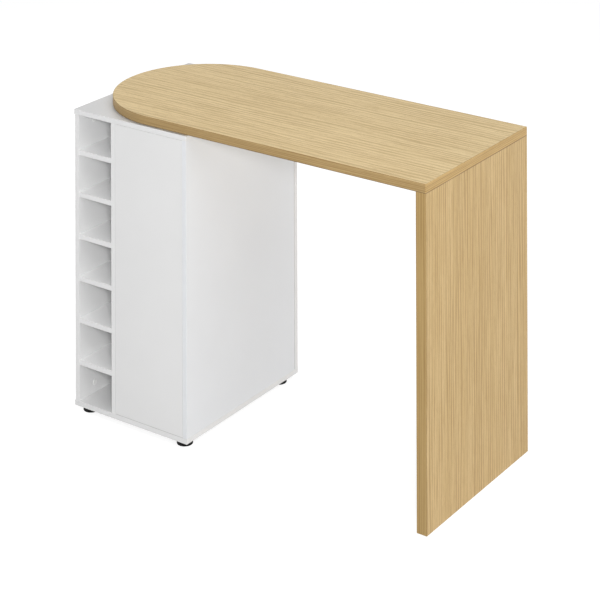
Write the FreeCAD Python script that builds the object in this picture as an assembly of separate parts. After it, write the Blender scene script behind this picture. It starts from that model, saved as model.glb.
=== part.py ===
import FreeCAD, Part
import os

# Bar table: an oak-effect top on a white bottle cabinet and a panel leg.
# Millimetres. X runs along the table from the cabinet to the leg, Y to the back, Z up from the floor.

# Table
HEIGHT = 1013.0
LENGTH = 1337.0
DEPTH = 600.0
TOP_THICKNESS = 28.0
LEG_THICKNESS = 34.0
EDGE_BAND = 1.0
EDGE_ROUNDING = 0.6
GLIDE_HEIGHT = 3.0
GLIDE_DIAMETER = 24.0
GLIDE_INSET = 60.0
GLIDE_ROUNDING = 1.0
GLIDE_NAIL_DIAMETER = 3.0
GLIDE_NAIL_LENGTH = 18.0

# Cabinet
CABINET_WIDTH = 460.0
PANEL_OVERHANG = 3.5
BOARD = 16.0
EDGE_EASING = 0.3
REAR_GAP = 1.5
SWIVEL_GAP = 5.0
NICHES = 7
NICHE_WIDTH = 137.0
BOTTOM_NICHE_HEIGHT = 117.5
TOP_NICHE_HEIGHT = 114.5
NICHE_SETBACK = 2.0
CUPBOARD_SHELVES = 2
SHELF_PLAY = 0.5
SHELF_SETBACK = 30.0
SHELF_PIN_DIAMETER = 5.0
SHELF_PIN_DEPTH = 8.0
SHELF_PIN_REACH = 8.0
SHELF_PIN_INSET = 60.0
FOOT_HEIGHT = 18.0
FOOT_DIAMETER = 52.0
FOOT_INSET = 36.0
FOOT_REAR_INSET = 58.0
FOOT_ROUNDING = 2.0
FOOT_SCREW_SEAT = 10.0
FOOT_SCREW_RADIUS = 2.0
FOOT_SCREW_BITE = 12.0

# Cam fittings, dowels and cover caps that join the boards
CAM_DIAMETER = 15.0
CAM_REACH = 34.0
CAM_BED = 4.5
CAM_EDGE = 76.0
CAM_SLOT = 7.2
BOLT_DIAMETER = 6.0
BOLT_NECK_DIAMETER = 4.0
BOLT_NECK_LENGTH = 4.0
BOLT_HEAD_DIAMETER = 6.4
BOLT_THREAD_DIAMETER = 5.0
BOLT_GRIP = 10.0
DOWEL_DIAMETER = 8.0
DOWEL_IN_FACE = 10.0
DOWEL_IN_END = 20.0
DOWEL_EDGE = 44.0
CAP_DIAMETER = 18.0
CAP_THICKNESS = 1.2
CAP_CHAMFER = 0.5
LEG_DOWELS = 4
HOLE_FIT = 0.1

# Door, its pivot leaves and its push latch
DOOR_GAP = 0.5
HINGE_INSET = 36.0
HINGE_SETBACK = 5.0
LEAF_WIDTH = 8.0
LEAF_LENGTH = 40.0
LEAF_THICKNESS = 2.5
LEAF_SCREW_RADIUS = 1.5
LEAF_SCREW_LENGTH = 12.0
LEAF_SCREW_SHARES = (0.4, 0.8)
PIN_DIAMETER = 4.0
COLLAR_DIAMETER = 7.0
COLLAR_CLEARANCE = 0.1
RUNNING_FIT = 0.05
LATCH_WIDTH = 14.0
LATCH_LENGTH = 60.0
LATCH_FLOOR = 5.0
LATCH_EAR_SPAN = 40.0
LATCH_EAR_LENGTH = 24.0
LATCH_EAR_THICKNESS = 4.0
LATCH_SCREW_RADIUS = 1.5
LATCH_SCREW_BITE = 10.0
LATCH_SCREW_SPREAD = 26.0
PLUNGER_DIAMETER = 8.0
PLUNGER_LENGTH = 34.0
PLUNGER_REACH = 6.0
PLUNGER_TRAVEL = 4.0
PLUNGER_ROUNDING = 1.5
PLUNGER_STEM_DIAMETER = 4.0
PLUNGER_STEM_LENGTH = 18.0
PLUNGER_CLEARANCE = 0.3
SPRING_WALL = 1.0
SPRING_PLAY = 0.4
STRIKE_THICKNESS = 1.5
STRIKE_WIDTH = 10.0
STRIKE_HEIGHT = 40.0
STRIKE_SCREW_LENGTH = 11.0

# Swivel between cabinet and table
STUD_DIAMETER = 20.0
STUD_THREAD_DIAMETER = 16.0
STUD_END = 3.0
FLANGE_DIAMETER = 110.0
FLANGE_SCREWS = 4
FLANGE_SCREW_CIRCLE = 80.0
FLANGE_SCREW_RADIUS = 2.5
FLANGE_SCREW_LENGTH = 22.0
BUSH_WALL = 3.0
BUSH_COLLAR_DIAMETER = 50.0
BUSH_COLLAR_THICKNESS = 1.0
WASHER_DIAMETER = 44.0
WASHER_THICKNESS = 2.5
WASHER_CLEARANCE = 0.2
NUT_ACROSS_FLATS = 24.0
NUT_HEIGHT = 9.0
PAD_DIAMETER = 30.0
PAD_INSET = 110.0
PAD_CLEARANCE = 0.1

# Places that follow from the sizes
LEFT = (PANEL_OVERHANG - LENGTH) / 2
RIGHT = LEFT + LENGTH
PANEL_LEFT = LEFT - PANEL_OVERHANG
FRONT = -DEPTH / 2
REAR = DEPTH / 2
TOP_UNDERSIDE = HEIGHT - TOP_THICKNESS
LEG_INNER = RIGHT - LEG_THICKNESS
PIVOT_X = LEFT + DEPTH / 2
CABINET_RIGHT = LEFT + CABINET_WIDTH
CABINET_TOP = TOP_UNDERSIDE - SWIVEL_GAP
INNER_BOTTOM = FOOT_HEIGHT + BOARD
INNER_TOP = CABINET_TOP - BOARD
INNER_LEFT = LEFT + BOARD
INNER_RIGHT = CABINET_RIGHT - BOARD
DIVIDER_LEFT = INNER_LEFT + NICHE_WIDTH
DIVIDER_RIGHT = DIVIDER_LEFT + BOARD
SIDE_REAR = REAR - BOARD - REAR_GAP
DOOR_LEFT = DIVIDER_RIGHT + DOOR_GAP
DOOR_RIGHT = INNER_RIGHT - DOOR_GAP
DOOR_BACK = FRONT + BOARD
DOOR_BOTTOM = INNER_BOTTOM + DOOR_GAP
DOOR_TOP = INNER_TOP - DOOR_GAP
HINGE_X = DOOR_RIGHT - HINGE_INSET
HINGE_Y = FRONT + HINGE_SETBACK

UP = FreeCAD.Vector(0, 0, 1)

# Holes waiting for each board, filled by the fittings and cut when the board is made
holes = {}


def box(x0, y0, z0, x1, y1, z1):
    """Block between two opposite corners."""
    return Part.makeBox(x1 - x0, y1 - y0, z1 - z0, FreeCAD.Vector(x0, y0, z0))


def eased_board(x0, y0, z0, x1, y1, z1):
    """Cabinet board between two opposite corners, with its sharp edges taken off."""
    block = box(x0, y0, z0, x1, y1, z1)
    return block.makeChamfer(EDGE_EASING, block.Edges)


def rod(radius, start, direction, length):
    """Cylinder from a point along a direction."""
    return Part.makeCylinder(radius, length, FreeCAD.Vector(*start), FreeCAD.Vector(*direction))


def turned(profile):
    """Solid of revolution about Z from (radius, height) points."""
    points = [FreeCAD.Vector(radius, 0, height) for radius, height in profile]
    face = Part.Face(Part.makePolygon(points + points[:1]))
    return face.revolve(FreeCAD.Vector(0, 0, 0), UP, 360)


def aimed(shape, start, direction):
    """Copy of a shape made along +Z at the origin, moved to a point and turned to a direction."""
    copy = shape.copy()
    turn = FreeCAD.Rotation(UP, FreeCAD.Vector(*direction))
    copy.Placement = FreeCAD.Placement(FreeCAD.Vector(*start), turn)
    return copy


def drill(board, *cutters):
    """Keep cutters for a board that is made later."""
    holes.setdefault(board, []).extend(cutters)


def drilled(board, shape):
    """The board's shape with its holes cut."""
    return shape.cut(holes[board]) if board in holes else shape


def save(node, *shapes):
    """Write one node: a single solid, or a group of separate solids."""
    solids = [solid for shape in shapes for solid in shape.Solids]
    whole = solids[0] if len(solids) == 1 else Part.makeCompound(solids)
    whole.exportStep("parts/" + node + ".step")


def wood_screw(radius, length, grow=0.0):
    """Countersunk screw along +Z with its flat head at the origin. grow makes the hole for it."""
    head = 2 * radius
    return turned([(0, 0), (head + grow, 0), (radius + grow, head - radius), (radius + grow, length + grow),
                   (0, length + grow)])


def screws(boards, radius, length, direction, starts):
    """Screws from their head points along one direction, with holes kept for the boards they pass."""
    for start in starts:
        for board in boards:
            drill(board, aimed(wood_screw(radius, length, HOLE_FIT), start, direction))
    return [aimed(wood_screw(radius, length), start, direction) for start in starts]


def dowel(end_board, face_board, start, direction):
    """Dowel from the face of one board into the end of another. direction points into the end."""
    length = DOWEL_IN_FACE + DOWEL_IN_END
    pin = Part.makeCylinder(DOWEL_DIAMETER / 2, length, FreeCAD.Vector(0, 0, -DOWEL_IN_FACE))
    hole = Part.makeCylinder(DOWEL_DIAMETER / 2 + HOLE_FIT, length + 2 * HOLE_FIT,
                             FreeCAD.Vector(0, 0, -DOWEL_IN_FACE - HOLE_FIT))
    drill(end_board, aimed(hole, start, direction))
    drill(face_board, aimed(hole, start, direction))
    return aimed(pin, start, direction)


def cam_fitting(board, mate, thickness, start, turn):
    """Cam disc, bolt and cover cap of one joint.

    Made with the joint at the origin, the board standing on it and its cam face at x = 0, looking to -X.
    """
    axis = thickness / 2
    bed = axis + CAM_BED
    disc = rod(CAM_DIAMETER / 2, (0, 0, CAM_REACH), (1, 0, 0), bed)
    half_slot = CAM_SLOT / 2
    slot = box(axis - half_slot, -half_slot, 0, axis + half_slot, half_slot, CAM_REACH + half_slot)
    head_end = CAM_REACH + BOLT_HEAD_DIAMETER / 2
    head_start = CAM_REACH
    neck_start = head_start - BOLT_NECK_LENGTH
    bolt = turned([(0, -BOLT_GRIP), (BOLT_THREAD_DIAMETER / 2, -BOLT_GRIP), (BOLT_THREAD_DIAMETER / 2, 0),
                   (BOLT_DIAMETER / 2, 0), (BOLT_DIAMETER / 2, neck_start),
                   (BOLT_NECK_DIAMETER / 2, neck_start), (BOLT_NECK_DIAMETER / 2, head_start),
                   (BOLT_HEAD_DIAMETER / 2, head_start),
                   (BOLT_HEAD_DIAMETER / 2, head_end), (0, head_end)])
    bolt.translate(FreeCAD.Vector(axis, 0, 0))
    cap = turned([(0, 0), (CAP_DIAMETER / 2, 0), (CAP_DIAMETER / 2, CAP_THICKNESS - CAP_CHAMFER),
                  (CAP_DIAMETER / 2 - CAP_CHAMFER, CAP_THICKNESS), (0, CAP_THICKNESS)])
    cap = aimed(cap, (0, 0, CAM_REACH), (-1, 0, 0))
    seat = rod(CAM_DIAMETER / 2 + HOLE_FIT, (0, 0, CAM_REACH), (1, 0, 0), bed + HOLE_FIT)
    shank = rod(half_slot, (axis, 0, 0), (0, 0, 1), CAM_REACH)
    thread = rod(BOLT_THREAD_DIAMETER / 2 + HOLE_FIT, (axis, 0, 0), (0, 0, -1), BOLT_GRIP + HOLE_FIT)
    place = FreeCAD.Placement(FreeCAD.Vector(*start), turn)
    for shape in (bolt, cap, seat, shank, thread):
        shape.Placement = place.multiply(shape.Placement)
    cam = disc.cut(slot)
    cam.Placement = place
    drill(board, seat, shank)
    drill(mate, thread)
    return cam, bolt, cap


def upright(board, cam_places, dowel_places, yaw):
    """Fittings of a board that stands between the cabinet's bottom and top panels."""
    found = []
    pins = []
    for mate, height, roll in (("cabinet_bottom", INNER_BOTTOM, 0), ("cabinet_top", INNER_TOP, 180)):
        for x, y in cam_places:
            turn = FreeCAD.Rotation(yaw, 0, roll)
            found.append(cam_fitting(board, mate, BOARD, (x, y, height), turn))
        for x, y in dowel_places:
            pins.append(dowel(board, mate, (x, y, height), (0, 0, -1 if roll else 1)))
    return found, pins


def leaf_plate(grow=0.0):
    """Flat strip with a round nose about the hinge axis at the origin. grow makes the recess for it."""
    half = LEAF_WIDTH / 2 + grow
    tail = -LEAF_LENGTH - grow
    corners = [FreeCAD.Vector(0, half, 0), FreeCAD.Vector(tail, half, 0),
               FreeCAD.Vector(tail, -half, 0), FreeCAD.Vector(0, -half, 0)]
    nose = Part.Arc(corners[3], FreeCAD.Vector(half, 0, 0), corners[0])
    sides = [Part.makeLine(corners[k], corners[k + 1]) for k in range(3)]
    return Part.Face(Part.Wire(sides + [nose.toShape()])).extrude(FreeCAD.Vector(0, 0, LEAF_THICKNESS))


def table_outline(inset):
    """Outline of the table top: straight sides, a square end over the leg and a half-round end."""
    front, rear, right = FRONT + inset, REAR - inset, RIGHT - inset
    corners = [FreeCAD.Vector(PIVOT_X, front, 0), FreeCAD.Vector(right, front, 0),
               FreeCAD.Vector(right, rear, 0), FreeCAD.Vector(PIVOT_X, rear, 0)]
    round_end = Part.Arc(corners[3], FreeCAD.Vector(LEFT + inset, 0, 0), corners[0])
    sides = [Part.makeLine(corners[k], corners[k + 1]) for k in range(3)]
    return Part.Face(Part.Wire(sides + [round_end.toShape()]))


os.makedirs("parts", exist_ok=True)

# Fittings of the cabinet's upright boards: cams on the inner faces, near both ends
along_depth = (FRONT + CAM_EDGE, SIDE_REAR - CAM_EDGE)
dowel_depth = (FRONT + DOWEL_EDGE, SIDE_REAR - DOWEL_EDGE)
along_width = (LEFT + CAM_EDGE, CABINET_RIGHT - CAM_EDGE)
dowel_width = (LEFT + DOWEL_EDGE, CABINET_RIGHT - DOWEL_EDGE)
cam_sets = []
cabinet_dowels = []
for name, face_x, middle_x, yaw in (("left_side", INNER_LEFT, INNER_LEFT - BOARD / 2, 180),
                                    ("divider", DIVIDER_RIGHT, DIVIDER_RIGHT - BOARD / 2, 180),
                                    ("right_side", INNER_RIGHT, INNER_RIGHT + BOARD / 2, 0)):
    sets, pins = upright(name, [(face_x, y) for y in along_depth], [(middle_x, y) for y in dowel_depth], yaw)
    cam_sets += sets
    cabinet_dowels += pins
sets, pins = upright("rear_panel", [(x, REAR - BOARD) for x in along_width],
                     [(x, REAR - BOARD / 2) for x in dowel_width], 90)
cam_sets += sets
cabinet_dowels += pins
save("cabinet_cams", *[cam for cam, bolt, cap in cam_sets])
save("cabinet_cam_bolts", *[bolt for cam, bolt, cap in cam_sets])
save("cabinet_cover_caps", *[cap for cam, bolt, cap in cam_sets])
save("cabinet_dowels", *cabinet_dowels)

# Bottle niches: shelves at one pitch between the left side and the divider, on dowels
niche_pitch = (INNER_TOP - TOP_NICHE_HEIGHT - BOARD - INNER_BOTTOM - BOTTOM_NICHE_HEIGHT) / (NICHES - 2)
niche_front = FRONT + NICHE_SETBACK
shelf_dowels = []
for number in range(1, NICHES):
    node = "niche_shelf_" + str(number)
    underside = INNER_BOTTOM + BOTTOM_NICHE_HEIGHT + (number - 1) * niche_pitch
    for y in (niche_front + DOWEL_EDGE, SIDE_REAR - DOWEL_EDGE):
        middle = underside + BOARD / 2
        shelf_dowels.append(dowel(node, "left_side", (INNER_LEFT, y, middle), (1, 0, 0)))
        shelf_dowels.append(dowel(node, "divider", (DIVIDER_LEFT, y, middle), (-1, 0, 0)))
    board = eased_board(INNER_LEFT, niche_front, underside, DIVIDER_LEFT, SIDE_REAR, underside + BOARD)
    save(node, drilled(node, board))
save("niche_shelf_dowels", *shelf_dowels)

# Cupboard shelves behind the door, each on four pins
shelf_front = DOOR_BACK + SHELF_SETBACK
shelf_pins = []
for number in range(1, CUPBOARD_SHELVES + 1):
    underside = INNER_BOTTOM + (INNER_TOP - INNER_BOTTOM) * number / (CUPBOARD_SHELVES + 1)
    pin_z = underside - SHELF_PIN_DIAMETER / 2
    for y in (shelf_front + SHELF_PIN_INSET, SIDE_REAR - SHELF_PIN_INSET):
        for board, face_x, inward in (("divider", DIVIDER_RIGHT, 1), ("right_side", INNER_RIGHT, -1)):
            start = (face_x - inward * SHELF_PIN_DEPTH, y, pin_z)
            length = SHELF_PIN_DEPTH + SHELF_PIN_REACH
            shelf_pins.append(rod(SHELF_PIN_DIAMETER / 2, start, (inward, 0, 0), length))
            drill(board, rod(SHELF_PIN_DIAMETER / 2 + HOLE_FIT, start, (inward, 0, 0), length))
    save("cupboard_shelf_" + str(number), eased_board(DIVIDER_RIGHT + SHELF_PLAY, shelf_front, underside,
                                                      INNER_RIGHT - SHELF_PLAY, SIDE_REAR, underside + BOARD))
save("shelf_pins", *shelf_pins)

# Feet under the cabinet's corners, each with its screw
foot_radius = FOOT_DIAMETER / 2
foot_places = {"foot_front_left": (LEFT + FOOT_INSET, FRONT + FOOT_INSET),
               "foot_front_right": (CABINET_RIGHT - FOOT_INSET, FRONT + FOOT_INSET),
               "foot_rear_left": (LEFT + FOOT_INSET, REAR - FOOT_REAR_INSET),
               "foot_rear_right": (CABINET_RIGHT - FOOT_INSET, REAR - FOOT_REAR_INSET)}
foot_screws = []
for node, (x, y) in foot_places.items():
    foot = Part.makeCylinder(foot_radius, FOOT_HEIGHT)
    lower_edge = [edge for edge in foot.Edges if edge.BoundBox.ZMax < FOOT_HEIGHT / 2]
    foot = foot.makeFillet(FOOT_ROUNDING, lower_edge)
    well = Part.makeCylinder(2 * FOOT_SCREW_RADIUS + HOLE_FIT, FOOT_SCREW_SEAT)
    foot = aimed(foot.cut(well), (x, y, 0), (0, 0, 1))
    length = FOOT_HEIGHT - FOOT_SCREW_SEAT + FOOT_SCREW_BITE
    foot_screws += screws([node, "cabinet_bottom"], FOOT_SCREW_RADIUS, length, (0, 0, 1),
                          [(x, y, FOOT_SCREW_SEAT)])
    save(node, drilled(node, foot))
save("foot_screws", *foot_screws)

# Pivot leaves: flat steel strips let into the frame and the door's ends, with a pin on the hinge axis.
# The axis stands in from the door's edge, so that its square corner clears the right side as it swings in.
pin_length = DOOR_GAP + LEAF_THICKNESS - COLLAR_CLEARANCE
collar_height = DOOR_GAP - COLLAR_CLEARANCE
leaf_screw_places = [HINGE_X - LEAF_LENGTH * share for share in LEAF_SCREW_SHARES]
frame_leaves = []
door_leaves = []
frame_leaf_screws = []
door_leaf_screws = []
for panel, panel_face, door_end, outward in (("cabinet_bottom", INNER_BOTTOM, DOOR_BOTTOM, -1),
                                             ("cabinet_top", INNER_TOP, DOOR_TOP, 1)):
    frame_start = (HINGE_X, HINGE_Y, min(panel_face, panel_face + outward * LEAF_THICKNESS))
    door_start = (HINGE_X, HINGE_Y, min(door_end, door_end - outward * LEAF_THICKNESS))
    drill(panel, aimed(leaf_plate(HOLE_FIT), frame_start, (0, 0, 1)))
    drill("door", aimed(leaf_plate(HOLE_FIT), door_start, (0, 0, 1)))
    axis_start = (HINGE_X, HINGE_Y, door_end)
    pin = rod(PIN_DIAMETER / 2, axis_start, (0, 0, outward), pin_length)
    collar = rod(COLLAR_DIAMETER / 2, axis_start, (0, 0, outward), collar_height)
    bore = rod(PIN_DIAMETER / 2 + RUNNING_FIT, axis_start, (0, 0, outward), DOOR_GAP + LEAF_THICKNESS)
    frame_leaves.append(aimed(leaf_plate(), frame_start, (0, 0, 1)).cut(bore))
    door_leaves.append(aimed(leaf_plate(), door_start, (0, 0, 1)).fuse([collar, pin]))
    frame_leaf_screws += screws(["frame_leaves", panel], LEAF_SCREW_RADIUS, LEAF_SCREW_LENGTH,
                                (0, 0, outward), [(x, HINGE_Y, panel_face) for x in leaf_screw_places])
    door_leaf_screws += screws(["door_leaves", "door"], LEAF_SCREW_RADIUS, LEAF_SCREW_LENGTH,
                               (0, 0, -outward), [(x, HINGE_Y, door_end) for x in leaf_screw_places])
save("frame_leaves", *[drilled("frame_leaves", leaf) for leaf in frame_leaves])
save("door_leaves", *[drilled("door_leaves", leaf) for leaf in door_leaves])
save("frame_leaf_screws", *frame_leaf_screws)
save("door_leaf_screws", *door_leaf_screws)

# Push latch on the divider, behind the door's free edge, and its strike plate on the door
latch_x = DIVIDER_RIGHT + LATCH_WIDTH / 2
latch_z = (INNER_BOTTOM + INNER_TOP) / 2
strike_back = DOOR_BACK + STRIKE_THICKNESS
plunger_tip = strike_back + PLUNGER_CLEARANCE
latch_front = plunger_tip + PLUNGER_REACH
latch_bore = LATCH_LENGTH - LATCH_FLOOR
latch_middle = latch_front + LATCH_LENGTH / 2
latch_screw_heights = (latch_z - LATCH_SCREW_SPREAD / 2, latch_z + LATCH_SCREW_SPREAD / 2)
body = box(DIVIDER_RIGHT, latch_front, latch_z - LATCH_WIDTH / 2,
           DIVIDER_RIGHT + LATCH_WIDTH, latch_front + LATCH_LENGTH, latch_z + LATCH_WIDTH / 2)
ear_face = DIVIDER_RIGHT + LATCH_EAR_THICKNESS
ears = box(DIVIDER_RIGHT, latch_middle - LATCH_EAR_LENGTH / 2, latch_z - LATCH_EAR_SPAN / 2,
           ear_face, latch_middle + LATCH_EAR_LENGTH / 2, latch_z + LATCH_EAR_SPAN / 2)
latch_screws = screws(["latch_housing", "divider"], LATCH_SCREW_RADIUS,
                      LATCH_EAR_THICKNESS + LATCH_SCREW_BITE, (-1, 0, 0),
                      [(ear_face, latch_middle, z) for z in latch_screw_heights])
drill("latch_housing", rod(PLUNGER_DIAMETER / 2 + RUNNING_FIT, (latch_x, latch_front, latch_z),
                           (0, 1, 0), latch_bore))
save("latch_housing", drilled("latch_housing", body.fuse(ears)))
save("latch_screws", *latch_screws)

head_radius = PLUNGER_DIAMETER / 2
stem_radius = PLUNGER_STEM_DIAMETER / 2
stem_end = PLUNGER_LENGTH + PLUNGER_STEM_LENGTH
plunger = turned([(0, 0), (head_radius - PLUNGER_ROUNDING, 0), (head_radius, PLUNGER_ROUNDING),
                  (head_radius, PLUNGER_LENGTH), (stem_radius, PLUNGER_LENGTH), (stem_radius, stem_end),
                  (0, stem_end)])
save("latch_plunger", aimed(plunger, (latch_x, plunger_tip, latch_z), (0, 1, 0)))

spring_radius = head_radius - SPRING_PLAY
spring_length = latch_bore - (PLUNGER_LENGTH - PLUNGER_REACH) - PLUNGER_TRAVEL - SPRING_PLAY
spring = turned([(spring_radius - SPRING_WALL, 0), (spring_radius, 0), (spring_radius, spring_length),
                 (spring_radius - SPRING_WALL, spring_length)])
save("latch_spring", aimed(spring, (latch_x, latch_front + latch_bore, latch_z), (0, -1, 0)))

strike = box(latch_x - STRIKE_WIDTH / 2, DOOR_BACK, latch_z - STRIKE_HEIGHT / 2,
             latch_x + STRIKE_WIDTH / 2, strike_back, latch_z + STRIKE_HEIGHT / 2)
strike_screws = screws(["latch_strike", "door"], LATCH_SCREW_RADIUS, STRIKE_SCREW_LENGTH, (0, -1, 0),
                       [(latch_x, strike_back, z) for z in latch_screw_heights])
save("latch_strike", drilled("latch_strike", strike))
save("strike_screws", *strike_screws)

# Door: flush between the divider and the right side
save("door", drilled("door", box(DOOR_LEFT, FRONT, DOOR_BOTTOM, DOOR_RIGHT, DOOR_BACK, DOOR_TOP)))

# Swivel: a flanged stud on the table turns in a bush in the cabinet's top, held by a washer and a nut
flange_face = CABINET_TOP + BUSH_COLLAR_THICKNESS
shoulder = INNER_TOP - WASHER_CLEARANCE
nut_top = shoulder - WASHER_THICKNESS
nut_bottom = nut_top - NUT_HEIGHT
stud_end = nut_bottom - STUD_END
stud_radius = STUD_DIAMETER / 2
thread_radius = STUD_THREAD_DIAMETER / 2
bush_radius = stud_radius + BUSH_WALL
bush_bore = stud_radius + RUNNING_FIT
pivot_place = (PIVOT_X, 0, 0)
pivot = turned([(0, stud_end), (thread_radius, stud_end), (thread_radius, shoulder), (stud_radius, shoulder),
                (stud_radius, flange_face), (FLANGE_DIAMETER / 2, flange_face),
                (FLANGE_DIAMETER / 2, TOP_UNDERSIDE), (0, TOP_UNDERSIDE)])
bush = turned([(bush_bore, INNER_TOP), (bush_radius, INNER_TOP), (bush_radius, CABINET_TOP),
               (BUSH_COLLAR_DIAMETER / 2, CABINET_TOP), (BUSH_COLLAR_DIAMETER / 2, flange_face),
               (bush_bore, flange_face)])
washer = turned([(thread_radius + HOLE_FIT, nut_top), (WASHER_DIAMETER / 2, nut_top),
                 (WASHER_DIAMETER / 2, shoulder), (thread_radius + HOLE_FIT, shoulder)])
screw_places = []
for number in range(FLANGE_SCREWS):
    turn = FreeCAD.Rotation(UP, 360 * (number + 0.5) / FLANGE_SCREWS)
    spoke = turn.multVec(FreeCAD.Vector(FLANGE_SCREW_CIRCLE / 2, 0, 0))
    screw_places.append((PIVOT_X + spoke.x, spoke.y, flange_face))
flange_screws = screws(["swivel_pivot", "table_top"], FLANGE_SCREW_RADIUS, FLANGE_SCREW_LENGTH, (0, 0, 1),
                       screw_places)
drill("cabinet_top", rod(bush_radius + HOLE_FIT, (PIVOT_X, 0, INNER_TOP), (0, 0, 1), BOARD))
hexagon = []
for number in range(6):
    turn = FreeCAD.Rotation(UP, 60 * number)
    hexagon.append(turn.multVec(FreeCAD.Vector(NUT_ACROSS_FLATS / 3 ** 0.5, 0, nut_bottom)))
nut = Part.Face(Part.makePolygon(hexagon + hexagon[:1])).extrude(FreeCAD.Vector(0, 0, NUT_HEIGHT))
nut = nut.cut(rod(thread_radius + HOLE_FIT, (0, 0, nut_bottom), (0, 0, 1), NUT_HEIGHT))
save("swivel_pivot", drilled("swivel_pivot", aimed(pivot, pivot_place, (0, 0, 1))))
save("swivel_bush", aimed(bush, pivot_place, (0, 0, 1)))
save("swivel_washer", aimed(washer, pivot_place, (0, 0, 1)))
save("swivel_nut", aimed(nut, pivot_place, (0, 0, 1)))
save("swivel_screws", *flange_screws)
save("swivel_pads", *[rod(PAD_DIAMETER / 2, (x, y, CABINET_TOP), (0, 0, 1), SWIVEL_GAP - PAD_CLEARANCE)
                      for x in (LEFT + PAD_INSET, CABINET_RIGHT - PAD_INSET)
                      for y in (FRONT + PAD_INSET, REAR - PAD_INSET)])

# Leg: a panel under the square end, joined to the top by cams and dowels, on three glides
leg_sets = [cam_fitting("leg_panel", "table_top", LEG_THICKNESS, (LEG_INNER, y, TOP_UNDERSIDE),
                        FreeCAD.Rotation(0, 0, 180)) for y in (FRONT + CAM_EDGE, 0, REAR - CAM_EDGE)]
leg_middle = RIGHT - LEG_THICKNESS / 2
dowel_step = (DEPTH - 2 * DOWEL_EDGE) / (LEG_DOWELS - 1)
dowel_rows = [FRONT + DOWEL_EDGE + number * dowel_step for number in range(LEG_DOWELS)]
leg_dowels = [dowel("leg_panel", "table_top", (leg_middle, y, TOP_UNDERSIDE), (0, 0, -1)) for y in dowel_rows]
save("leg_cams", *[cam for cam, bolt, cap in leg_sets])
save("leg_cam_bolts", *[bolt for cam, bolt, cap in leg_sets])
save("leg_cover_caps", *[cap for cam, bolt, cap in leg_sets])
save("leg_dowels", *leg_dowels)
glide_radius = GLIDE_DIAMETER / 2
nail_radius = GLIDE_NAIL_DIAMETER / 2
nail_end = GLIDE_HEIGHT + GLIDE_NAIL_LENGTH
glide = turned([(0, 0), (glide_radius - GLIDE_ROUNDING, 0), (glide_radius, GLIDE_ROUNDING),
                (glide_radius, GLIDE_HEIGHT), (nail_radius, GLIDE_HEIGHT), (nail_radius, nail_end),
                (0, nail_end)])
for node, y in (("glide_front", FRONT + GLIDE_INSET), ("glide_middle", 0),
                ("glide_rear", REAR - GLIDE_INSET)):
    save(node, aimed(glide, (leg_middle, y, 0), (0, 0, 1)))
    drill("leg_panel", rod(nail_radius + HOLE_FIT, (leg_middle, y, GLIDE_HEIGHT), (0, 0, 1),
                           GLIDE_NAIL_LENGTH + HOLE_FIT))
save("leg_panel", drilled("leg_panel", box(LEG_INNER, FRONT + EDGE_BAND, GLIDE_HEIGHT,
                                           RIGHT, REAR - EDGE_BAND, TOP_UNDERSIDE)))
save("leg_edge_bands", *[box(LEG_INNER, y, GLIDE_HEIGHT, RIGHT, y + EDGE_BAND, TOP_UNDERSIDE)
                         for y in (FRONT, REAR - EDGE_BAND)])

# Table top and the band round its edge
thickness = FreeCAD.Vector(0, 0, TOP_THICKNESS)
core = table_outline(EDGE_BAND).extrude(thickness)
whole = table_outline(0).extrude(thickness)
rims = [edge for edge in whole.Edges if edge.BoundBox.ZLength < EDGE_BAND]
band = whole.makeFillet(EDGE_ROUNDING, rims).cut(core)
save("table_top", drilled("table_top", aimed(core, (0, 0, TOP_UNDERSIDE), (0, 0, 1))))
save("top_edge_band", aimed(band, (0, 0, TOP_UNDERSIDE), (0, 0, 1)))

# Boards of the cabinet, last, with the holes for everything that they carry
for node, underside in (("cabinet_bottom", FOOT_HEIGHT), ("cabinet_top", INNER_TOP)):
    panel = eased_board(PANEL_LEFT, FRONT, underside, CABINET_RIGHT, REAR, underside + BOARD)
    save(node, drilled(node, panel))
for node, x in (("left_side", LEFT), ("divider", DIVIDER_LEFT), ("right_side", INNER_RIGHT)):
    side = eased_board(x, FRONT, INNER_BOTTOM, x + BOARD, SIDE_REAR, INNER_TOP)
    save(node, drilled(node, side))
rear_panel = eased_board(LEFT, REAR - BOARD, INNER_BOTTOM, CABINET_RIGHT, REAR, INNER_TOP)
save("rear_panel", drilled("rear_panel", rear_panel))
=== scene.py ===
import math
from collections import namedtuple

import bpy
from mathutils import Matrix, Vector


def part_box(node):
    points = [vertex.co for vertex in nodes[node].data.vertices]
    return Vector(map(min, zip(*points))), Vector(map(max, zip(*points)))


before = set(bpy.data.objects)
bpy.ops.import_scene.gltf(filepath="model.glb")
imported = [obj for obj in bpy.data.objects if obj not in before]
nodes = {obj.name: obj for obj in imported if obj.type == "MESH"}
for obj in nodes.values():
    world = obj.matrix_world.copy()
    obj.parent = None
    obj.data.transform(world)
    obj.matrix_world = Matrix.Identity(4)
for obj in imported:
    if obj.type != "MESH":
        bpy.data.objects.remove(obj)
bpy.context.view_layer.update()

# Cabinet boards: chipboard faced with white melamine and edged with white tape, joined by cam fittings.
# The facing is pressed against a finely structured plate, so it has a soft sheen and a faint pearl grain.
# Boards at the niches are written a lighter white, as painted light inside the niches, and the right side a
# cooler white, as painted light that cancels the oak's warm bounce. Dark lines at some edges are painted seam
# shade.
X, Y, Z = range(3)
NOISE_CORE = (0.35, 0.65)  # where most values of a noise lie
LINE_CORE = 0.7  # share of a line's width that shows in full


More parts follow.
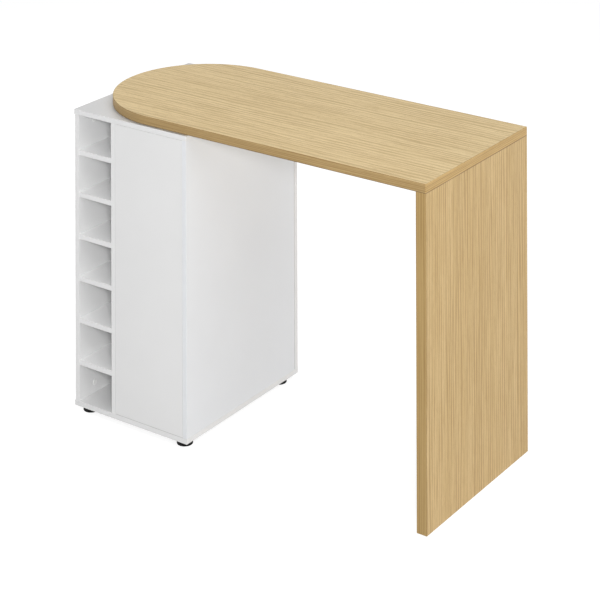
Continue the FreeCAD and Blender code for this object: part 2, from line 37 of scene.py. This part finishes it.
class Value:
    """An output socket in a node tree. Arithmetic on it adds Math nodes."""

    def __init__(self, shading, socket):
        self.shading = shading
        self.socket = socket

    def __add__(self, other):
        return self.shading.math("ADD", self, other)

    def __radd__(self, other):
        return self.shading.math("ADD", other, self)

    def __sub__(self, other):
        return self.shading.math("SUBTRACT", self, other)

    def __rsub__(self, other):
        return self.shading.math("SUBTRACT", other, self)

    def __mul__(self, other):
        return self.shading.math("MULTIPLY", self, other)

    def __rmul__(self, other):
        return self.shading.math("MULTIPLY", other, self)


class Shading:
    """The node tree of a material or a world."""

    def __init__(self, owner):
        self.owner = owner
        owner.use_nodes = True
        self.tree = owner.node_tree
        self.tree.nodes.clear()

    def node(self, kind, settings=None, inputs=None, output=0):
        """Add a node: its settings first, then the values or links of its sockets.
        Returns one of its outputs, if it has any."""
        made = self.tree.nodes.new(kind)
        for key, value in (settings or {}).items():
            setattr(made, key, value)
        for key, value in (inputs or {}).items():
            if isinstance(value, Value):
                self.tree.links.new(value.socket, made.inputs[key])
            else:
                made.inputs[key].default_value = value
        return Value(self, made.outputs[output]) if made.outputs else None

    def math(self, operation, first, second=0.0):
        return self.node("ShaderNodeMath", {"operation": operation}, {0: first, 1: second})


class Finish(Shading):
    """A material that varies over the piece, ending in one surface shader."""

    def __init__(self, name):
        super().__init__(bpy.data.materials.new(name))
        place = self.node("ShaderNodeTexCoord", output="Object")
        self.axes = [self.node("ShaderNodeSeparateXYZ", inputs={0: place}, output=axis) for axis in (X, Y, Z)]

    def noise(self, per_metre, detail=2.0, roughness=0.5, bend=0.0):
        """Soft random field, about 0 to 1, with so many grains per metre along X, Y and Z."""
        parts = {axis: self.axes[axis] * per_metre[axis] for axis in (X, Y, Z)}
        spot = self.node("ShaderNodeCombineXYZ", inputs=parts)
        return self.node("ShaderNodeTexNoise", inputs={"Vector": spot, "Scale": 1.0, "Detail": detail,
                                                       "Roughness": roughness, "Distortion": bend})

    def span(self, value, between, to=(0.0, 1.0)):
        """Map a value between two numbers to two others, held at both ends."""
        return self.node("ShaderNodeMapRange", {"clamp": True},
                         {"Value": value, "From Min": between[0], "From Max": between[1],
                          "To Min": to[0], "To Max": to[1]})

    def mix(self, share, first, second, blend="MIX"):
        """Colour between two colours, through the sockets that a Mix node keeps for colours."""
        return self.node("ShaderNodeMix", {"data_type": "RGBA", "blend_type": blend},
                         {0: share, 6: first, 7: second}, output=2)

    def near(self, axis, place, width):
        """1 at a plane across an axis, 0 past so many metres from it."""
        away = self.math("ABSOLUTE", self.axes[axis] - place)
        return self.span(away, (width * LINE_CORE, width), (1.0, 0.0))

    def bump(self, height, depth):
        """Normals of a relief of so many metres."""
        return self.node("ShaderNodeBump", inputs={"Strength": 1.0, "Distance": depth, "Height": height})

    def surface(self, sockets):
        """End in a shader with these values or links on its sockets. Returns the material."""
        shader = self.node("ShaderNodeBsdfPrincipled", inputs=sockets)
        self.node("ShaderNodeOutputMaterial", inputs={"Surface": shader})
        return self.owner


def dress(material, names):
    """Give CAD nodes a material in place of the plain one they came with."""
    for name in names:
        nodes[name].data.materials.clear()
        nodes[name].data.materials.append(material)


# A line at a plane across an axis: real edge tape, or painted shade of a seam between boards.
TapeAndSeamShadeLine = namedtuple("TapeAndSeamShadeLine", "axis place width share colour")
CABINET_WHITE = (0.705, 0.705, 0.705)
# Painted light: the niche wall and the niche boards are written lighter than the cabinet's white, for light
# inside the niches.
NICHE_WALL_PAINTED_LIGHTER_WHITE = (0.735, 0.735, 0.735)
NICHE_PAINTED_LIGHTER_WHITE = (0.84, 0.84, 0.84)
# Painted light: the right side is written a cooler white, to cancel the oak's warm bounce on it.
SIDE_PAINTED_COOLER_WHITE = (0.69, 0.703, 0.724)
TAPE_WHITE = (0.725, 0.725, 0.725, 1)
# Painted shade of the seams and gaps at some board edges, in place of their shadow.
SEAM_PAINTED_SHADE = (0.4, 0.4, 0.39, 1)
CLOUDS = (5, 5, 5)  # per metre along X, Y and Z, as all counts of grain here
CLOUD_GAIN = 1.018
PEARLS = (1100, 1100, 1100)
PEARL_SHARE = 0.3
PEARL_DEPTH = 0.00002
MELAMINE_ROUGHNESS = {"between": (0.4, 0.9), "to": (0.36, 0.46)}
MELAMINE_GLOSS = 0.4
NICHE_SHELVES = 6


def white_board(name, white, tape_and_seam_shade_lines=()):
    """White facing, a little paler in clouds, with lines at planes across an axis: edge tape, and painted
    seam shade.
    """
    finish = Finish(name)
    cloud = finish.noise(CLOUDS)
    pearl = finish.noise(PEARLS, detail=1)
    paler = [CLOUD_GAIN * part for part in white]
    colour = finish.mix(finish.span(cloud, NOISE_CORE), (*white, 1), (*paler, 1))
    for line in tape_and_seam_shade_lines:
        colour = finish.mix(finish.near(line.axis, line.place, line.width) * line.share, colour, line.colour)
    rough = finish.span(cloud + pearl * PEARL_SHARE, **MELAMINE_ROUGHNESS)
    return finish.surface({"Base Color": colour, "Roughness": rough, "Specular IOR Level": MELAMINE_GLOSS,
                           "Normal": finish.bump(pearl, PEARL_DEPTH)})


cabinet_boards = ["cabinet_bottom", "cabinet_top", "rear_panel", "cupboard_shelf_1", "cupboard_shelf_2"]
dress(white_board("white_melamine", CABINET_WHITE), cabinet_boards)
side_low, side_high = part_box("right_side")
front_tape = TapeAndSeamShadeLine(Y, side_low[Y], width=0.003, share=1.0, colour=TAPE_WHITE)
# Painted light in the niches: a lighter white for the left side and the niche boards.
dress(white_board("white_melamine_niche_wall", NICHE_WALL_PAINTED_LIGHTER_WHITE, [front_tape]), ["left_side"])
niche_boards = ["divider"] + [f"niche_shelf_{number}" for number in range(1, NICHE_SHELVES + 1)]
dress(white_board("white_melamine_niches", NICHE_PAINTED_LIGHTER_WHITE, [front_tape]), niche_boards)
# Painted shade of the right side's seams at its rear edge and at the bottom panel.
side_seam_shade_lines = [TapeAndSeamShadeLine(Y, side_high[Y], width=0.0016, share=0.85, colour=SEAM_PAINTED_SHADE),
              TapeAndSeamShadeLine(Z, side_low[Z], width=0.001, share=0.4, colour=SEAM_PAINTED_SHADE)]
# Painted light: a cooler white on the right side.
dress(white_board("white_melamine_side", SIDE_PAINTED_COOLER_WHITE, side_seam_shade_lines), ["right_side"])
door_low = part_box("door")[0]
# Painted shade of the door's gaps along its bottom and left edges.
door_seam_shade_lines = [TapeAndSeamShadeLine(Z, door_low[Z], width=0.0014, share=0.9, colour=SEAM_PAINTED_SHADE),
              TapeAndSeamShadeLine(X, door_low[X], width=0.001, share=0.6, colour=SEAM_PAINTED_SHADE)]
dress(white_board("white_melamine_door", CABINET_WHITE, door_seam_shade_lines), ["door"])

# Feet: low round pucks of black polypropylene, screwed up into the bottom panel through a well in the middle.
# The mould is spark-eroded, which leaves a matte skin.
NOISE_MIDDLE = (0.3, 0.7)  # where nearly all values of a noise lie
BLACK = (0.004, 0.004, 0.004, 1)
BLACK_SMEARED = (0.008, 0.008, 0.008, 1)
SMEARS = (60, 60, 60)
SPARK_PITS = (1800, 1800, 1800)
SPARK_SHARE = 0.4
SPARK_DEPTH = 0.00006
BLACK_ROUGHNESS = {"between": (0.4, 1.0), "to": (0.5, 0.68)}
BLACK_GLOSS = 0.15


def black_plastic():
    finish = Finish("black_plastic")
    skin = finish.noise(SPARK_PITS, roughness=0.6)
    smear = finish.noise(SMEARS, detail=3)
    colour = finish.mix(finish.span(smear, NOISE_MIDDLE), BLACK, BLACK_SMEARED)
    rough = finish.span(smear + skin * SPARK_SHARE, **BLACK_ROUGHNESS)
    return finish.surface({"Base Color": colour, "Roughness": rough, "Specular IOR Level": BLACK_GLOSS,
                           "Normal": finish.bump(skin, SPARK_DEPTH)})


dress(black_plastic(), ["foot_front_left", "foot_front_right", "foot_rear_left", "foot_rear_right"])

# Cam discs: zinc die castings in round pockets of the boards. Each is turned with a screwdriver, which draws
# its bolt in. The skin of the mould is grey and slightly pitted.
ZINC_DARK = (0.36, 0.36, 0.37, 1)
ZINC_BRIGHT = (0.5, 0.5, 0.51, 1)
ZINC_PITS = (900, 900, 900)
ZINC_BRIGHTENING = (0.35, 0.7)
ZINC_PIT_DEPTH = 0.00008
ZINC_ROUGHNESS = {"between": NOISE_MIDDLE, "to": (0.4, 0.6)}


def cast_zinc():
    finish = Finish("cast_zinc")
    pits = finish.noise(ZINC_PITS, detail=3, roughness=0.7)
    colour = finish.mix(finish.span(pits, ZINC_BRIGHTENING), ZINC_DARK, ZINC_BRIGHT)
    rough = finish.span(pits, **ZINC_ROUGHNESS)
    return finish.surface({"Base Color": colour, "Metallic": 1.0, "Roughness": rough,
                           "Normal": finish.bump(pits, ZINC_PIT_DEPTH)})


dress(cast_zinc(), ["cabinet_cams", "leg_cams"])

# Steel fittings: cam bolts, screws, shelf pins, pivot leaves, latch spring and strike, and the pivot, washer
# and nut of the swivel. They are turned, wound or stamped and then bright zinc-plated, with a faint bloom,
# bluish to yellowish, and fine scratches.
STEEL_BLUISH = (0.56, 0.57, 0.58, 1)
STEEL_YELLOWISH = (0.64, 0.63, 0.6, 1)
BLOOMS = (45, 45, 45)
BLOOM_SHARE = 0.5
SCRATCHES = (300, 2600, 2600)
SCRATCH_BEND = 0.4
SCRATCH_DEPTH = 0.00001
STEEL_ROUGHNESS = {"between": (0.5, 1.0), "to": (0.24, 0.42)}


def plated_steel():
    finish = Finish("plated_steel")
    bloom = finish.noise(BLOOMS)
    scratch = finish.noise(SCRATCHES, bend=SCRATCH_BEND)
    colour = finish.mix(finish.span(bloom, NOISE_MIDDLE), STEEL_BLUISH, STEEL_YELLOWISH)
    rough = finish.span(bloom * BLOOM_SHARE + scratch, **STEEL_ROUGHNESS)
    return finish.surface({"Base Color": colour, "Metallic": 1.0, "Roughness": rough,
                           "Normal": finish.bump(scratch, SCRATCH_DEPTH)})


dress(plated_steel(), ["cabinet_cam_bolts", "leg_cam_bolts", "foot_screws", "shelf_pins", "frame_leaves",
                       "frame_leaf_screws", "door_leaves", "door_leaf_screws", "latch_screws", "latch_strike",
                       "strike_screws", "latch_spring", "swivel_pivot", "swivel_screws", "swivel_washer",
                       "swivel_nut"])

# Moulded white pieces: cover caps over the cams, latch housing and plunger, swivel bush and pads, leg glides.
# Polyethylene and nylon, a little warmer and glossier than the boards.
PLASTIC_WHITE = (0.8, 0.8, 0.79, 1)
PLASTIC_PALER = (0.85, 0.85, 0.845, 1)
FLOW_MARKS = (80, 80, 80)
MOULD_GRAINS = (1500, 1500, 1500)
MOULD_DEPTH = 0.00003
PLASTIC_ROUGHNESS = {"between": NOISE_MIDDLE, "to": (0.3, 0.42)}


def white_plastic():
    finish = Finish("white_plastic")
    skin = finish.noise(MOULD_GRAINS, detail=1)
    flow = finish.noise(FLOW_MARKS)
    colour = finish.mix(finish.span(flow, NOISE_MIDDLE), PLASTIC_WHITE, PLASTIC_PALER)
    rough = finish.span(flow, **PLASTIC_ROUGHNESS)
    return finish.surface({"Base Color": colour, "Roughness": rough,
                           "Normal": finish.bump(skin, MOULD_DEPTH)})


dress(white_plastic(), ["cabinet_cover_caps", "leg_cover_caps", "latch_housing", "latch_plunger",
                        "swivel_bush", "swivel_pads", "glide_front", "glide_middle", "glide_rear"])

# Dowels: rolled beech pins glued into the boards, which keep them in line beside the cam fittings.
# The wood is pinkish brown with short dark flecks.
BEECH_GROUND = (0.56, 0.37, 0.22, 1)
BEECH_FLECK = (0.38, 0.22, 0.12, 1)
FLECKS = (400, 400, 120)
FLECK_DARKENING = (0.55, 0.7)
FLECK_DEPTH = 0.00005
BEECH_ROUGHNESS = {"between": (0.4, 0.7), "to": (0.5, 0.7)}


def beech():
    finish = Finish("beech")
    fleck = finish.noise(FLECKS)
    colour = finish.mix(finish.span(fleck, FLECK_DARKENING), BEECH_GROUND, BEECH_FLECK)
    rough = finish.span(fleck, **BEECH_ROUGHNESS)
    return finish.surface({"Base Color": colour, "Roughness": rough,
                           "Normal": finish.bump(fleck, FLECK_DEPTH)})


dress(beech(), ["cabinet_dowels", "niche_shelf_dowels", "leg_dowels"])

# Table top, panel leg and their edge bands: chipboard faced with straight-grained light oak, a print that is
# embossed. Grain runs along the top and up the leg. The bands carry the same oak, with its lines along the
# edge. Its tones are painted light and shade per face: lighter on the top, darker on the bands than on the
# leg.
# The top's band has a painted highlight on its end and painted shade along its lower arris.
OakTones = namedtuple("OakTones", "light mean dark")
# Painted light and shade: one oak, written lighter for the top and darker for the bands than for the leg.
TOP_PAINTED_LIGHTER_TONES = OakTones((0.87, 0.68, 0.378, 1), (0.8, 0.614, 0.326, 1), (0.61, 0.446, 0.218, 1))
LEG_TONES = OakTones((0.615, 0.446, 0.222, 1), (0.563, 0.398, 0.183, 1), (0.406, 0.268, 0.111, 1))
TOP_BAND_PAINTED_DARKER_TONES = OakTones((0.415, 0.29, 0.133, 1), (0.372, 0.252, 0.108, 1), (0.272, 0.177, 0.07, 1))
LEG_BAND_PAINTED_DARKER_TONES = OakTones((0.415, 0.288, 0.122, 1), (0.368, 0.247, 0.097, 1), (0.278, 0.176, 0.064, 1))
BAND_BEND = 0.2
PATCHES_PER_BAND = 3.1
RING_WANDER = 3.0
RINGS_BETWEEN = 2.6
RING_STRENGTH = (0.35, 1.0)
RING_SHARE = 0.42
THIN_RING_SHARE = 0.12
FIBRE_SHARE = 1.1
LINE_DARKENING = (0.6, 0.98)
HAIRS_PER_FIBRE = 4.3
HAIR_DARKENING = (0.5, 0.7)
HAIR_SHARE = 0.2
PORE_TONE = (0.3, 0.185, 0.07, 1)
PORE_DARKENING = (0.6, 0.7)
PORE_SHARE = 0.45
# Painted highlight on the end face of the top's band.
END_PAINTED_LIGHT_GAIN = (1.38, 1.35, 1.24, 1)
END_PAINTED_LIGHT_DEPTH = 0.0015
# Painted shade along the lower arris of the top's band, in place of the shadow in the gap below it.
ARRIS_PAINTED_SHADE = (0.12, 0.075, 0.035, 1)
ARRIS_PAINTED_SHADE_HEIGHT = 0.0025
ARRIS_PAINTED_SHADE_SHARE = 0.75
PORE_ROUGHENING = 0.5
OAK_ROUGHNESS = {"between": (0.3, 1.2), "to": (0.46, 0.64)}
FIBRE_RELIEF = 0.3
LINE_RELIEF = 0.3
EMBOSS_DEPTH = 0.00004
OAK_GLOSS = 0.3


def wave(finish, angle):
    """Swings between 0 and 1 as an angle in radians grows."""
    return finish.math("SINE", angle) * 0.5 + 0.5


def oak(name, tones, bands, rings, fibres, pores, end=None, arris=None):
    """Oak facing. Each layer of its grain has its counts per metre along X, Y and Z.
    A band may have a painted highlight on its end across X and painted shade along its arris across Z, at
    these places in metres."""
    finish = Finish(name)
    band = finish.noise(bands, bend=BAND_BEND)
    patch = finish.noise([PATCHES_PER_BAND * count for count in bands], detail=1)
    fibre = finish.noise(fibres, detail=3, roughness=0.65)
    hair = finish.noise([HAIRS_PER_FIBRE * count for count in fibres], detail=1)
    pore = finish.span(finish.noise(pores, detail=1), PORE_DARKENING)
    across = sum(axis * count for axis, count in zip(finish.axes, rings))
    angle = (across + band * RING_WANDER) * math.tau
    ring = wave(finish, angle) * finish.span(patch, NOISE_CORE, RING_STRENGTH)
    thin_ring = wave(finish, angle * RINGS_BETWEEN + patch * math.tau)
    line = finish.span(ring * RING_SHARE + thin_ring * THIN_RING_SHARE + fibre * FIBRE_SHARE, LINE_DARKENING)
    tone = finish.mix(finish.span(band, NOISE_MIDDLE), tones.mean, tones.light)
    tone = finish.mix(line, tone, tones.dark)
    tone = finish.mix(finish.span(hair, HAIR_DARKENING) * HAIR_SHARE + pore * PORE_SHARE, tone, PORE_TONE)
    # Painted highlight on the end.
    if end is not None:
        tone = finish.mix(finish.near(X, end, END_PAINTED_LIGHT_DEPTH), tone, END_PAINTED_LIGHT_GAIN, blend="MULTIPLY")
    # Painted shade along the arris.
    if arris is not None:
        tone = finish.mix(finish.near(Z, arris, ARRIS_PAINTED_SHADE_HEIGHT) * ARRIS_PAINTED_SHADE_SHARE, tone, ARRIS_PAINTED_SHADE)
    rough = finish.span(fibre + pore * PORE_ROUGHENING, **OAK_ROUGHNESS)
    relief = fibre * FIBRE_RELIEF - pore - line * LINE_RELIEF
    return finish.surface({"Base Color": tone, "Roughness": rough, "Specular IOR Level": OAK_GLOSS,
                           "Normal": finish.bump(relief, EMBOSS_DEPTH)})


# Painted light and shade per face: the top's tones are lighter, the bands' darker, than the leg's.
dress(oak("oak_top", TOP_PAINTED_LIGHTER_TONES, bands=(0.9, 11, 24), rings=(0, 58, 40), fibres=(6, 185, 400),
          pores=(50, 1500, 1500)), ["table_top"])
dress(oak("oak_leg", LEG_TONES, bands=(9, 14, 0.8), rings=(40, 75, 0), fibres=(200, 250, 6),
          pores=(1500, 1500, 50)), ["leg_panel"])
band_low, band_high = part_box("top_edge_band")
# The top's band gets a painted highlight on its end and painted shade along its lower arris.
dress(oak("oak_top_band", TOP_BAND_PAINTED_DARKER_TONES, bands=(0.8, 0.8, 60), rings=(0, 0, 210), fibres=(7, 7, 600),
          pores=(45, 45, 1600), end=band_high[X], arris=band_low[Z]), ["top_edge_band"])
dress(oak("oak_leg_band", LEG_BAND_PAINTED_DARKER_TONES, bands=(40, 9, 0.5), rings=(110, 30, 0), fibres=(500, 200, 5),
          pores=(1500, 1500, 45)), ["leg_edge_bands"])

# Studio: a pale floor in an even room, a wide skylight on the leg's side, a front lamp beside the camera that
# reaches into the niches, and two broad lamps for the rear and the left side. Seen directly or mirrored,
# floor and room are white, and the floor keeps the table's shadow. To other light they are plain and matte.
WHITE = (1, 1, 1, 1)
FLOOR_SIZE = 60.0
FLOOR_GREY = (0.5, 0.5, 0.5, 1)
FLOOR_SHADE = (0.28, 0.28, 0.28, 1)
FLOOR_GLOW = 0.82
ROOM_LIGHT = 0.175
SKYLIGHT_SPREAD = math.radians(60)
LAMP_AIM = (-0.3, 0.0, 0.5)


def seen_rays(shading):
    """1 for rays that see a thing directly, mirrored or through glass, 0 for the light that it throws."""
    camera_ray, glossy_ray, clear_ray = (shading.node("ShaderNodeLightPath", output=f"Is {kind} Ray")
                                         for kind in ("Camera", "Glossy", "Transmission"))
    return camera_ray + glossy_ray + clear_ray


def lamp(name, kind, place, aim, strength):
    """A lamp at a place, turned to the point that it aims at."""
    bpy.ops.object.light_add(type=kind, location=place)
    made = bpy.context.object
    made.name = name
    made.data.energy = strength
    made.rotation_euler = (Vector(aim) - made.location).to_track_quat("-Z", "Y").to_euler()
    return made


def disc_lamp(name, place, watts, size):
    """A round lamp, so many metres wide, turned to the table. As if polarised, it leaves no glare there."""
    made = lamp(name, "AREA", place, LAMP_AIM, watts)
    made.data.shape = "DISK"
    made.data.size = size
    made.visible_glossy = False


floor_paint = Shading(bpy.data.materials.new("studio_floor"))
matte = floor_paint.node("ShaderNodeBsdfDiffuse", inputs={"Color": FLOOR_GREY})
shade = floor_paint.node("ShaderNodeBsdfDiffuse", inputs={"Color": FLOOR_SHADE})
glow = floor_paint.node("ShaderNodeEmission", inputs={"Color": WHITE, "Strength": FLOOR_GLOW})
lifted = floor_paint.node("ShaderNodeAddShader", inputs={0: shade, 1: glow})
painted = floor_paint.node("ShaderNodeMixShader", inputs={0: seen_rays(floor_paint), 1: matte, 2: lifted})
floor_paint.node("ShaderNodeOutputMaterial", inputs={"Surface": painted})
bpy.ops.object.select_all(action="DESELECT")
bpy.ops.mesh.primitive_plane_add(size=FLOOR_SIZE)
floor = bpy.context.object
floor.name = "studio_floor"
floor.data.materials.append(floor_paint.owner)

room = Shading(bpy.data.worlds.new("studio_room"))
room_light = room.node("ShaderNodeBackground", inputs={"Color": WHITE, "Strength": ROOM_LIGHT})
room_white = room.node("ShaderNodeBackground", inputs={"Color": WHITE, "Strength": 1.0})
room_mix = room.node("ShaderNodeMixShader", inputs={0: seen_rays(room), 1: room_light, 2: room_white})
room.node("ShaderNodeOutputWorld", inputs={"Surface": room_mix})
bpy.context.scene.world = room.owner

skylight = lamp("skylight", "SUN", place=(1.6, -0.5, 3.7), aim=(0.0, 0.0, 0.9), strength=1.3)
skylight.data.angle = SKYLIGHT_SPREAD
disc_lamp("front_lamp", place=(3.0, -4.4, 2.7), watts=256.0, size=1.2)
disc_lamp("rear_lamp", place=(2.0, 3.8, 0.9), watts=92.0, size=2.4)
disc_lamp("left_lamp", place=(-4.4, 0.1, 1.1), watts=100.0, size=1.8)

# Camera: a long lens that looks down at the table from the front right. The photograph keeps upright edges
# upright, as a view camera does whose back stays plumb, so this one hangs from a holder that leans its
# picture plane upright. Fall and aside are metres down and to the side per metre of level distance.
CAMERA_PLACE = Vector((3.67425, -5.1777, 3.0996))
CAMERA_TURN = math.radians(35.188)
CAMERA_ROLL = math.radians(-0.178)
CAMERA_FALL = 0.42275
CAMERA_ASIDE = -0.00102
CAMERA_LENS = 129.925  # millimetres
level = Vector((-math.sin(CAMERA_TURN), math.cos(CAMERA_TURN), 0))
aside = Vector((math.cos(CAMERA_TURN), math.sin(CAMERA_TURN), 0))
up = Vector((0, 0, 1))
look = (level + CAMERA_ASIDE * aside - CAMERA_FALL * up).normalized()
bpy.ops.object.camera_add(location=CAMERA_PLACE)
camera = bpy.context.object
camera.name = "camera"
camera.data.lens = CAMERA_LENS
camera.rotation_euler = look.to_track_quat("-Z", "Y").to_euler()
bpy.context.view_layer.update()
picture_x = math.cos(CAMERA_ROLL) * aside + math.sin(CAMERA_ROLL) * up
picture_y = math.cos(CAMERA_ROLL) * up - math.sin(CAMERA_ROLL) * aside
plumb = Matrix((picture_x, picture_y, -look)).transposed().to_4x4()
plumb.translation = CAMERA_PLACE
bpy.ops.object.empty_add()
holder = bpy.context.object
holder.name = "camera_holder"
camera.parent = holder
camera.matrix_parent_inverse = plumb @ camera.matrix_world.inverted()
bpy.context.scene.camera = camera
bpy.context.scene.view_settings.view_transform = "Standard"
